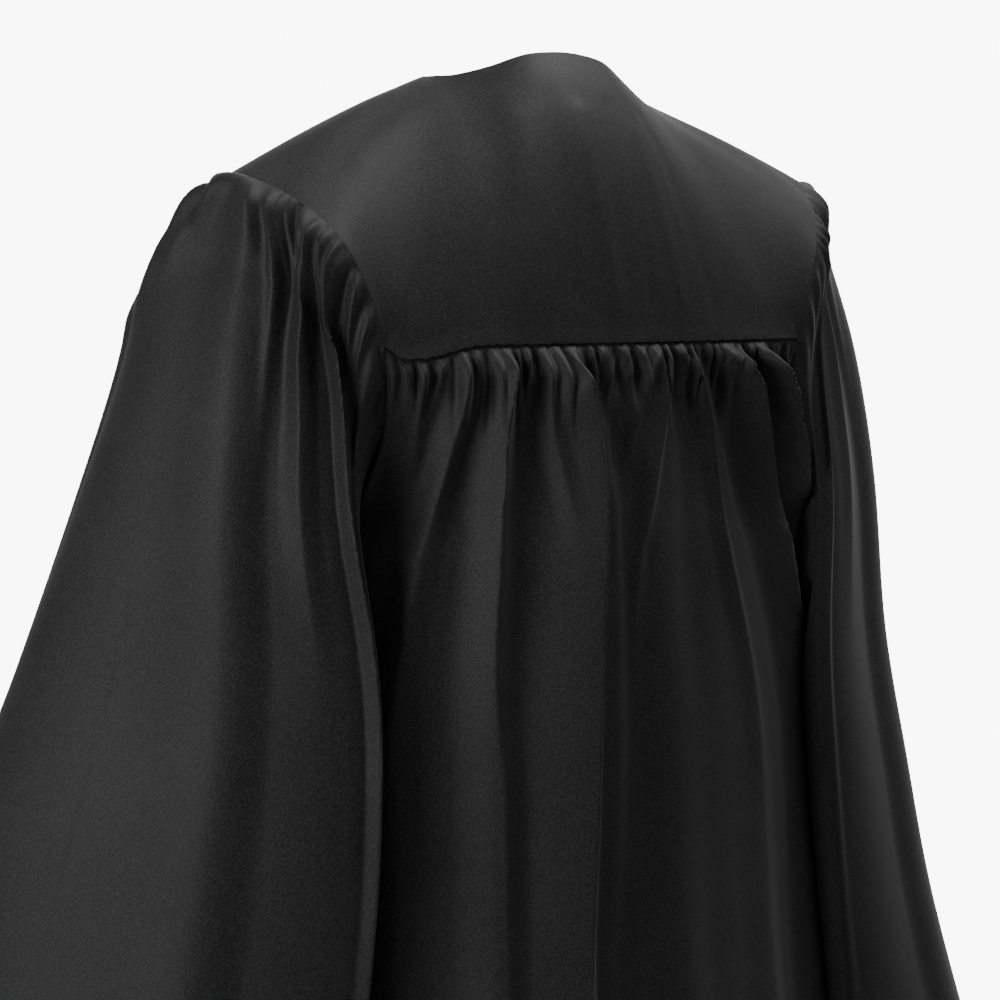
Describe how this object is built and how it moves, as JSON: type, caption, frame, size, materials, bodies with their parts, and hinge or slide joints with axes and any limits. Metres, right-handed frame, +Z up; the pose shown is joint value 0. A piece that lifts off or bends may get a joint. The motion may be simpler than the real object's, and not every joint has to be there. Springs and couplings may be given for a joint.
{
  "type": "graduation gown",
  "caption": "Long graduation gown as worn: plain yoke, gathered back and fronts, full bell sleeves, V neck and front zip.",
  "frame": {"origin": "midway between the two places where the yoke rests on the wearer's shoulders, beside the neck", "axes": "+Z up, the front faces -Y, the wearer's left is +X"},
  "size_m": [0.918, 0.4579, 1.3013],
  "materials": {
    "cloth": "matte black woven polyester with a faint soft sheen",
    "zip_chain": "black nylon coil, satin",
    "zip_metal": "black enamelled metal, satin"
  },
  "bodies": {
    "gown": {"yoke": "cloth", "back_panel": "cloth", "front_panel_left": "cloth", "front_panel_right": "cloth", "sleeve_left": "cloth", "sleeve_right": "cloth", "front_zip": "zip_chain", "zip_slider": "zip_metal"},
    "pull_tab": {"zip_pull": "zip_metal"}
  },
  "joints": [
    {"name": "pull_tab_swing", "type": "hinge", "parent": "gown", "child": "pull_tab", "pos_m": [0, -0.11443, -0.17578], "axis": [-1, 0, 0], "range_deg": [0, 165]}
  ]
}
